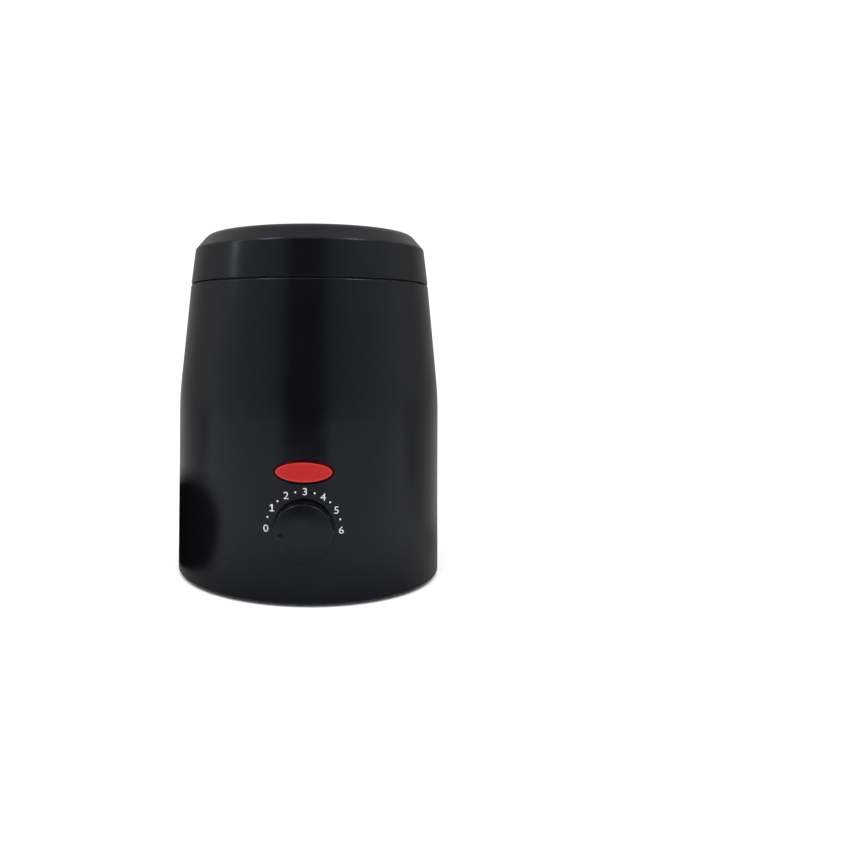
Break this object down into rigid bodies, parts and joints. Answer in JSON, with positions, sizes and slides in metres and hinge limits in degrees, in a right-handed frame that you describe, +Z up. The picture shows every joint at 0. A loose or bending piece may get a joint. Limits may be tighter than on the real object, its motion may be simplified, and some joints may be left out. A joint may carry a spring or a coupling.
{
  "type": "wax heater",
  "caption": "Tabletop wax heater: round tapered body with a lift-off bevelled lid, a removable wax pot with a bail, a temperature knob and an oval indicator lens.",
  "frame": {"origin": "on the table under the axis of the body, level with the undersides of the feet", "axes": "+Z up along the axis of the body, -Y out of the front through the knob and lens, +X to the right as seen from the front"},
  "size_m": [0.118, 0.131, 0.15],
  "materials": {
    "black_plastic": "satin moulded",
    "knob_plastic": "satin moulded",
    "base_plastic": "fine textured",
    "red_lens": "clear red, polished",
    "pot_aluminium": "spun",
    "chamber_aluminium": "drawn",
    "steel": "zinc plated",
    "silicone": "matt",
    "fibre": "needled felt",
    "thermostat_resin": "moulded resin",
    "copper": "drawn",
    "white_nylon": "moulded",
    "lamp_glass": "clear",
    "gland_plastic": "moulded",
    "fuse_metal": "tinned",
    "brown_lead": "silicone insulation",
    "blue_lead": "silicone insulation",
    "red_lead": "silicone insulation",
    "foot_rubber": "matt"
  },
  "bodies": {
    "housing": {"housing": "black_plastic", "base_cover": "base_plastic", "indicator_lens": "red_lens", "heating_chamber": "chamber_aluminium", "gasket_ring": "silicone", "insulation_sleeve": "fibre", "heater_plate": "chamber_aluminium", "heater_bracket": "steel", "bracket_screws": "steel", "base_screws": "steel", "thermostat_screws": "steel", "lamp_screws": "steel", "block_screw": "steel", "fuse_clip": "steel", "thermostat": "thermostat_resin", "sensor_bulb": "copper", "capillary": "copper", "lamp_holder": "white_nylon", "neon_lamp": "lamp_glass", "cord_gland": "gland_plastic", "gland_nut": "gland_plastic", "terminal_block": "white_nylon", "thermal_fuse": "fuse_metal", "live_lead": "brown_lead", "neutral_lead": "blue_lead", "load_lead": "red_lead", "fuse_lead": "red_lead", "lamp_switched_lead": "red_lead", "lamp_neutral_lead": "blue_lead", "foot_front_left": "foot_rubber", "foot_front_right": "foot_rubber", "foot_rear_left": "foot_rubber", "foot_rear_right": "foot_rubber"},
    "knob": {"knob": "knob_plastic", "knob_shaft": "steel"},
    "pot": {"wax_pot": "pot_aluminium"},
    "bail": {"bail": "steel"},
    "lid": {"lid": "black_plastic"}
  },
  "joints": [
    {"name": "knob_turn", "type": "hinge", "parent": "housing", "child": "knob", "pos_m": [0, -0.06, 0.0304], "axis": [0, 1, 0], "range_deg": [0, 185]},
    {"name": "pot_lift", "type": "slide", "parent": "housing", "child": "pot", "axis": [0, 0, 1], "range_m": [0, 0.075]},
    {"name": "lid_lift", "type": "slide", "parent": "pot", "child": "lid", "axis": [0, 0, 1], "range_m": [0, 0.075]},
    {"name": "bail_swing", "type": "hinge", "parent": "pot", "child": "bail", "pos_m": [0, 0, 0.1269], "axis": [1, 0, 0], "range_deg": [0, 92.7]}
  ],
  "couplings": [
    {"joint": "bail_swing", "follows": "lid_lift", "rad_per_m": 21.572}
  ]
}
